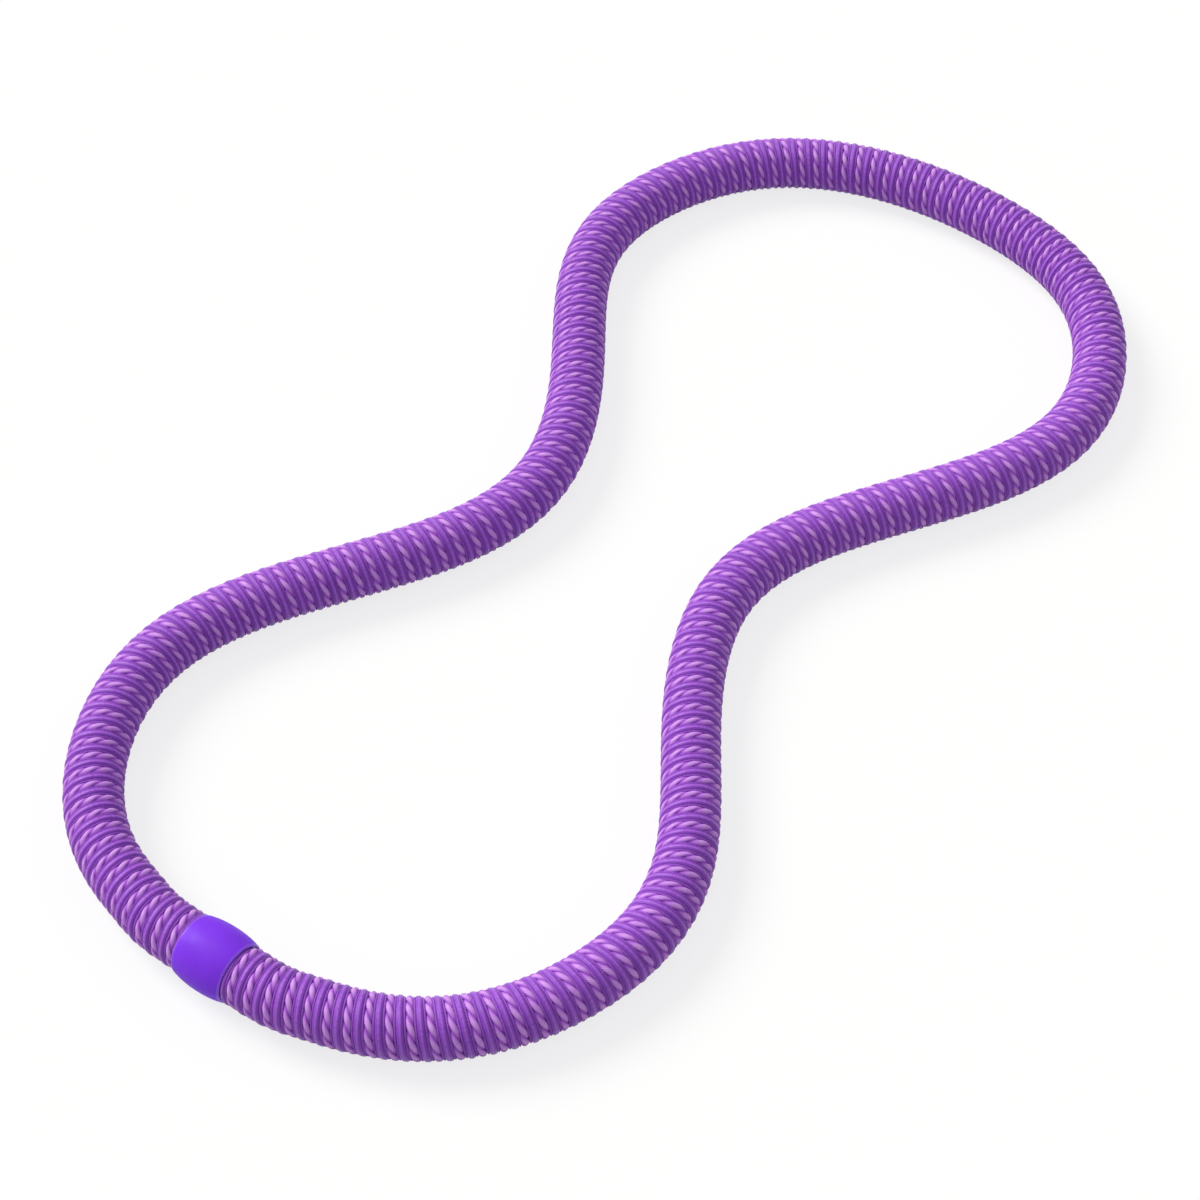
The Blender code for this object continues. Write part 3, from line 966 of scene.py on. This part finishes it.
@dataclass
class WoundCover:
    """The two cords wound side by side over the foam, from inside one lip of the collar to the other."""

    winding: Winding
    spans: list[Span]
    crest_radius: float = 0.0200
    bore_radius: float = 0.0143
    cord_half_width: float = 0.00268
    cord_half_height: float = 0.00270
    cord_squareness: float = 2.3
    cord_steps: int = 48
    cord_sides: int = 16
    lays_per_turn: float = 5.5
    ply_offset: float = 0.00110
    ply_outer: float = 0.00165
    ply_inner: float = 0.00108
    ply_half_width: float = 0.00200
    ply_contact: float = 0.6
    ply_flatness: float = 0.95
    ply_steps: int = 72
    ply_sides: int = 10
    twisted_further: float = 0.5
    widest: float = 1.05
    start: float = 0.0130
    bound_share: float = 0.575
    floor_softness: float = 0.0003
    smooth_finish: Finish = SmoothCordFinish(
        "satin_violet_cord", Slot.CORD, srgb(127, 56, 185), 0.30, sheen=0.16, sheen_tint=srgb(240, 175, 252),
        specular=0.25,
    )
    twisted_finish: Finish = TwistedCordFinish(
        "silky_lavender_ply", Slot.CORD, srgb(217, 161, 244), 0.42, sheen=0.35, sheen_tint=srgb(255, 215, 245),
        specular=0.3,
    )

    def _settle(self, middle: Array, stations: Array, angles: Array, radii: Array) -> Array:
        """Places a cord's points, pressed down under the collar's lip, no wider than it is, and on the floor.

        Args:
            middle: Stations of the cord's middle.
            stations: Stations of the points as laid on a straight tube.
            angles: Their angles.
            radii: Their radii.

        Returns:
            The points in space.
        """
        room = self.winding.line.stretch(middle, angles, radii)
        stations = middle + (stations - middle) * np.minimum(1.0, self.widest / room)
        squeeze = self.bound_share + (1 - self.bound_share) * self.winding.freed(stations)
        radii = self.bore_radius + (radii - self.bore_radius) * squeeze
        points = self.winding.line.place(stations, angles, radii)
        height = points[..., 2]
        points[..., 2] = (height + np.sqrt(height**2 + self.floor_softness**2)) / 2
        return points

    def _depth(self, radii: Array) -> Array:
        """Gives the height of points in the cover, from 0 at its bore to 1 at its crest."""
        return np.clip((radii - self.bore_radius) / (self.crest_radius - self.bore_radius), 0, 1)

    def smooth_cord(self, span: Span) -> Piece:
        """Builds the smooth cord along a span.

        Args:
            span: The span.

        Returns:
            The finished piece.
        """
        helix = Helix(self.winding.line, self.crest_radius - self.cord_half_height, self.winding.pitch)
        turns = helix.turns(span, self.start, self.cord_steps)
        sines, cosines = circle(self.cord_sides)
        across, rise = (
            half * np.sign(share) * np.abs(share) ** (2 / self.cord_squareness)
            for half, share in ((self.cord_half_width, sines), (-self.cord_half_height, cosines))
        )
        laid = helix.lay(turns, across, rise)
        points = self._settle(helix.middle(turns), *laid)
        name = f"smooth_cord_{span.joint}"
        skin = Skin(name, points, helix.length(turns), self._depth(laid[2]), self.cord_steps)
        return span.fit(skin, self.smooth_finish, Layer.COVER)

    def ply(self, span: Span, which: int) -> Piece:
        """Builds one ply of the twisted cord along a span.

        Args:
            span: The span.
            which: 0 for the first ply and 1 for the other.

        Returns:
            The finished piece.
        """
        radius = self.crest_radius - (self.ply_offset + self.ply_outer) * self.ply_flatness
        helix = Helix(self.winding.line, radius, self.winding.pitch, self.twisted_further)
        turns = helix.turns(span, self.start, self.ply_steps)
        twist = -self.lays_per_turn * turns * TURN + math.pi * which
        slant = math.atan(-self.ply_offset * self.lays_per_turn * math.cos(helix.lead) / radius)
        side_share, out_share = circle(self.ply_sides, math.pi)
        pressed = -np.abs(out_share) ** self.ply_contact * self.ply_inner
        outward = self.ply_offset + np.where(out_share > 0, out_share * self.ply_outer, pressed)
        sideways = self.ply_half_width * side_share
        turned = sideways * math.cos(slant)
        across = outward * np.cos(twist) - turned * np.sin(twist)
        rise = (outward * np.sin(twist) + turned * np.cos(twist)) * self.ply_flatness
        laid = helix.lay(turns, across, rise, -sideways * math.sin(slant))
        points = self._settle(helix.middle(turns), *laid)
        # The inner side of each ply counts as low, so painted groove shade also falls where the plies meet.
        depth = (0.5 + 0.5 * out_share) * self._depth(laid[2])
        name = f"twisted_cord_ply_{'ab'[which]}_{span.joint}"
        skin = Skin(name, points, helix.length(turns) / math.cos(slant), depth, self.ply_steps)
        return span.fit(skin, self.twisted_finish, Layer.COVER)

    def build(self) -> Iterator[Piece]:
        """Builds the cords of every span, one piece after another."""
        for span in self.spans:
            yield from (self.smooth_cord(span), self.ply(span, 0), self.ply(span, 1))


@dataclass
class FoamSleeve:
    """Foam sleeve under the cords, which is pressed up into a ridge in each gap between them."""

    winding: Winding
    spans: list[Span]
    radius: float = 0.01395
    bore: float = 0.00980
    start: float = 0.0033
    ridge_height: float = 0.0055
    ridge_at: float = 0.24
    ridge_half: float = 0.14
    mouth_at: float = 0.0200
    mouth_half: float = 0.0022
    mouth_height: float = 0.0047
    lines_per_turn: int = 20
    bore_step: float = 0.005
    sides: int = 32
    smooth_angle: float = 120.0
    finish: Finish = FoamFinish(
        "closed_cell_foam", Slot.FOAM, srgb(177, 97, 227), 0.88, sheen=0.1, sheen_roughness=0.5
    )

    def _outside(self, stations: Array, angles: Array) -> Array:
        """Gives the outer radius, with a ridge on both sides of the smooth cord and a roll at the lips' mouths.

        Args:
            stations: Stations along the tube.
            angles: Angles round it.

        Returns:
            The radii.
        """
        off = np.abs(np.abs(self.winding.phase(stations, angles)) - self.ridge_at) / self.ridge_half
        ridge = self.ridge_height * np.cos(math.pi / 2 * np.minimum(off, 1.0)) * self.winding.freed(stations)
        from_collar = np.minimum(stations, self.winding.line.length - stations)
        off = np.abs(from_collar - self.mouth_at) / self.mouth_half
        roll = self.mouth_height * np.sqrt(np.maximum(1 - off**2, 0.0))
        return self.radius + np.maximum(ridge, roll)

    def _rows(self, low: float, high: float, angles: Array) -> tuple[Array, Array]:
        """Lays out the outer rows so that their points lie on lines that follow the winding.

        Args:
            low: Station of the first row, which is level with a cut.
            high: Station of the last row, which is too.
            angles: Angles round the tube.

        Returns:
            A station for each row, and one for each point.
        """
        step = self.winding.pitch / self.lines_per_turn
        lines = np.arange(math.ceil(low / step + 1), math.floor(high / step - 1) + 1)
        shares = angles / TURN
        nearest = lines[:, None] - np.round(shares * self.lines_per_turn) + shares * self.lines_per_turn
        rows = np.concatenate([[low], lines * step, [high]])
        points = np.vstack([np.full_like(angles, low), nearest * step, np.full_like(angles, high)])
        return rows, points

    def sleeve(self, span: Span) -> Piece:
        """Builds the sleeve along a span.

        Args:
            span: The span.

        Returns:
            The finished piece.
        """
        line = self.winding.line
        angles = TURN * np.arange(self.sides) / self.sides
        low, high = max(span.start, self.start), min(span.end, line.length - self.start)
        outer, outer_stations = self._rows(low, high, angles)
        inner = np.linspace(high, low, round((high - low) / self.bore_step) + 1)
        inner_stations = np.repeat(inner[:, None], self.sides, axis=1)
        radii = np.vstack([self._outside(outer_stations, angles), np.full_like(inner_stations, self.bore)])
        stations = np.vstack([outer_stations, inner_stations])
        points = line.place(stations, np.broadcast_to(angles, radii.shape), radii)
        along, depth = np.concatenate([outer, inner]), radii / (self.radius + self.ridge_height)
        closed = {"capped": False, "smooth_angle": self.smooth_angle, "split": True}
        skin = Skin(f"foam_sleeve_{span.joint}", points, along, depth, self.lines_per_turn, **closed)
        return span.fit(skin, self.finish, Layer.FOAM)

    def build(self) -> Iterator[Piece]:
        """Builds the sleeve of every span, one piece after another."""
        yield from map(self.sleeve, self.spans)


@dataclass
class SpringCore:
    """Coil spring inside the foam, whose ends sit on the joining plug."""

    line: Centreline
    spans: list[Span]
    coil_radius: float = 0.00885
    wire_radius: float = 0.00057
    coil_pitch: float = 0.0030
    start: float = 0.0040
    steps: int = 12
    sides: int = 6
    coils_per_fold: int = 10
    smooth_angle: float = 62.0
    finish: Finish = DrawnSteelFinish("drawn_spring_wire", Slot.SPRING, srgb(150, 152, 156), 0.28)

    def coil(self, span: Span) -> Piece:
        """Builds the coils along a span.

        Args:
            span: The span.

        Returns:
            The finished piece.
        """
        helix = Helix(self.line, self.coil_radius, self.coil_pitch)
        turns = helix.turns(span, self.start, self.steps)
        sines, cosines = circle(self.sides)
        laid = helix.lay(turns, self.wire_radius * sines, -self.wire_radius * cosines)
        depth = laid[2] / (self.coil_radius + self.wire_radius)
        fold = self.coils_per_fold * self.steps
        skin = Skin(
            f"spring_coil_{span.joint}", self.line.place(*laid), helix.length(turns), depth, fold,
            smooth_angle=self.smooth_angle,
        )
        return span.fit(skin, self.finish, Layer.SPRING)

    def build(self) -> Iterator[Piece]:
        """Builds the coils of every span, one piece after another."""
        yield from map(self.coil, self.spans)


@dataclass
class Connector:
    """Moulded collar over the joint of the loop, with the plug and the two bands inside it."""

    line: Centreline
    body: str = "near_lobe_right"
    length: float = 0.0386
    end_radius: float = 0.0206
    bulge: float = 0.0022
    shoulder: float = 2.2
    rim: float = 0.0013
    rim_reach: float = 2.0
    lip_wall: float = 0.0016
    lip_chamfer: float = 0.0003
    lip_depth: float = 0.0070
    land_bore: float = 0.01428
    groove_half: float = 0.0033
    groove_radius: float = 0.01658
    facets: int = 96
    barrel_steps: int = 24
    rim_steps: int = 8
    smooth_angle: float = 40.0
    collar_finish: Finish = MouldedFinish(
        "gloss_violet_moulding", Slot.COLLAR, srgb(129, 51, 241), 0.48, specular=0.2, coat=0.02,
        # The rim colour is mixed in as wear and as a painted highlight.
        coat_roughness=0.2, rubbed_and_highlighted=True, tints=(("rim_wear_and_highlight", 0.5, srgb(186, 140, 250)),),
        roughs=(("smudge", 0.08), ("polish", -0.36), ("tone", 0.04)),
    )
    plug_finish: Finish = MouldedFinish("dark_nylon", Slot.PLUG, srgb(52, 50, 56), 0.5, peel=0.0006)
    band_finish: Finish = DrawnSteelFinish(
        "rolled_steel_strip", Slot.BAND, srgb(176, 178, 182), 0.26, mapped=False
    )

    def _profile(self) -> list[tuple[float, float]]:
        """Works out the collar's closed profile: a fuller barrel than an arc, rounded rims, lips and a bore.

        Returns:
            Points of length along the axis and radius.
        """
        end = self.length / 2
        slope = math.atan(self.shoulder * self.bulge / end)
        barrel = end - self.rim * (1 - math.sin(slope))
        outs = [math.sin(math.pi / 2 * step / self.barrel_steps) for step in range(self.barrel_steps + 1)]
        half = [(barrel * out, self.end_radius + self.bulge * (1 - out**self.shoulder)) for out in outs]
        middle = (end - self.rim, self.end_radius - self.rim * math.cos(slope))
        for step in range(1, self.rim_steps + 1):
            angle = (math.pi / 2 - slope) * (1 - step / self.rim_steps)
            half.append((middle[0] + self.rim * math.cos(angle), middle[1] + self.rim * math.sin(angle)))
        bore = self.end_radius - self.lip_wall
        lip = end - self.lip_depth
        half += [(end - self.lip_chamfer, bore), (lip, bore), (lip, self.land_bore)]
        half += [(self.groove_half, self.land_bore), (self.groove_half, self.groove_radius)]
        return half + [(-along, radius) for along, radius in reversed(half) if along > 0]

    def collar(self) -> Piece:
        """Builds the collar.

        Returns:
            The finished piece.
        """
        profile = np.array(self._profile())
        ahead = np.array([*self.line.collar_direction, 0.0])
        inward = np.array([-ahead[1], ahead[0], 0.0])
        up = np.array([0.0, 0.0, 1.0])
        centre = self.line.middle(np.array([0.0]))[0]
        sines, cosines = circle(self.facets)
        outward = sines[:, None] * inward - cosines[:, None] * up
        points = centre + profile[:, 0][:, None, None] * ahead + profile[:, 1][:, None, None] * outward
        steps = np.linalg.norm(np.diff(profile, axis=0), axis=1)
        along = np.concatenate([[0.0], np.cumsum(steps)])
        from_rim = (self.length / 2 - np.abs(profile[:, 0])) / (self.rim_reach * self.rim)
        depth = np.repeat(np.clip(1 - from_rim, 0, 1)[:, None], self.facets, axis=1)
        closed = {"capped": False, "smooth_angle": self.smooth_angle}
        piece = Skin("moulded_collar", points, along, depth, len(profile), **closed).build(self.collar_finish)
        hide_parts("connector_collar")
        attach(piece, self.body)
        return piece

    def build(self) -> Iterator[Piece]:
        """Builds the collar, and dresses the plug and the bands that the frame holds.

        Returns:
            One piece after another.
        """
        yield self.collar()
        kept = {"joining_plug": self.plug_finish}
        kept |= dict.fromkeys(("binding_band_right", "binding_band_left"), self.band_finish)
        for name, finish in kept.items():
            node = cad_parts[name]
            for slot in node.material_slots:
                slot.material = finish.material()
            yield node


@dataclass
class Studio:
    """Pale floor, soft light and the camera. Angles are in degrees."""

    floor_half: float = 8.0
    floor_colour: Colour = (0.62, 0.62, 0.62, 1.0)
    floor_glow: float = 0.78
    sky: float = 0.43
    sky_colour: Colour = (0.99, 0.95, 1.02, 1.0)
    key_strength: float = 2.88
    key_colour: Place = (1.0, 1.0, 0.9)
    key_size: float = 32.0
    key_height: float = 42.0
    key_side: float = 182.0
    camera_place: Place = (0.772, -1.131, 1.4835)
    camera_down: float = 48.17
    camera_turn: float = 35.23
    camera_reach: float = 50.0
    focal_pixels: float = 2863.0
    picture_width: float = 1200.0
    sensor: float = 36.0

    def _direct(self, wiring: Wiring) -> Socket:
        """Gives 1 for rays that come from the camera, also by way of gloss or glass, and 0 for others."""
        rays = map(
            wiring.node("LightPath").outputs.get, ("Is Camera Ray", "Is Glossy Ray", "Is Transmission Ray")
        )
        return reduce(lambda one, other: wiring.maths("MAXIMUM", one, other), rays)

    def floor(self) -> None:
        """Lays the floor. Seen by the camera it glows a little, so that it is white and keeps its shadow."""
        mesh = bpy.data.meshes.new("floor")
        half = self.floor_half
        corners = [(-half, -half, 0), (half, -half, 0), (half, half, 0), (-half, half, 0)]
        mesh.from_pydata(corners, [], [(0, 1, 2, 3)])
        paint = bpy.data.materials.new("pale_floor")
        paint.use_nodes = True
        paint.node_tree.nodes.clear()
        wiring = Wiring(paint.node_tree)
        matt = wiring.node("BsdfDiffuse", {"Color": self.floor_colour})
        shadowed = wiring.node("BsdfDiffuse", {"Color": (1 - self.floor_glow,) * 3 + (1.0,)})
        glow = wiring.node("Emission", {"Color": WHITE, "Strength": self.floor_glow})
        seen = wiring.node("AddShader", {0: shadowed.outputs[0], 1: glow.outputs[0]})
        shaders = {0: self._direct(wiring), 1: matt.outputs[0], 2: seen.outputs[0]}
        mixed = wiring.node("MixShader", shaders)
        wiring.node("OutputMaterial", {"Surface": mixed.outputs[0]})
        mesh.materials.append(paint)
        add_object("floor", mesh)

    def lights(self) -> None:
        """Hangs the even light all round and the soft key."""
        world = bpy.data.worlds.new("studio")
        world.use_nodes = True
        world.node_tree.nodes.clear()
        wiring = Wiring(world.node_tree)
        direct = self._direct(wiring)
        inputs = {
            "Color": wiring.mix(direct, self.sky_colour, WHITE),
            "Strength": wiring.add(direct, 1 - self.sky, self.sky),
        }
        back = wiring.node("Background", inputs)
        wiring.node("OutputWorld", {"Surface": back.outputs[0]})
        bpy.context.scene.world = world
        lamp = bpy.data.lights.new("key", "SUN")
        lamp.energy = self.key_strength
        lamp.color = self.key_colour
        lamp.angle = math.radians(self.key_size)
        key = add_object("key", lamp)
        key.rotation_euler = (math.radians(90 - self.key_height), 0, math.radians(self.key_side + 90))

    def camera(self) -> None:
        """Sets the camera at the photograph's angle."""
        data = bpy.data.cameras.new("camera")
        data.sensor_width = self.sensor
        data.lens = self.focal_pixels / self.picture_width * self.sensor
        data.clip_end = self.camera_reach
        eye = add_object("camera", data)
        eye.location = self.camera_place
        eye.rotation_euler = (math.radians(90 - self.camera_down), 0, math.radians(self.camera_turn))
        bpy.context.scene.camera = eye

    def build(self) -> None:
        """Sets up the whole studio."""
        self.floor()
        self.lights()
        self.camera()
        bpy.context.scene.view_settings.view_transform = "Standard"


def main() -> None:
    """Builds the hoop layer by layer, then the studio, and notes the size."""
    logging.basicConfig(level=logging.INFO, format="%(name)s: %(message)s")
    line = Centreline()
    winding = Winding(line)
    spans = LoopPlan(line).spans()
    layers = (SpringCore(line, spans), FoamSleeve(winding, spans), WoundCover(winding, spans), Connector(line))
    for layer in layers:
        for piece in layer.build():
            LOG.info("%s: %d faces", piece.name, len(piece.data.polygons))
    Studio().build()


if __name__ == "__main__":
    main()
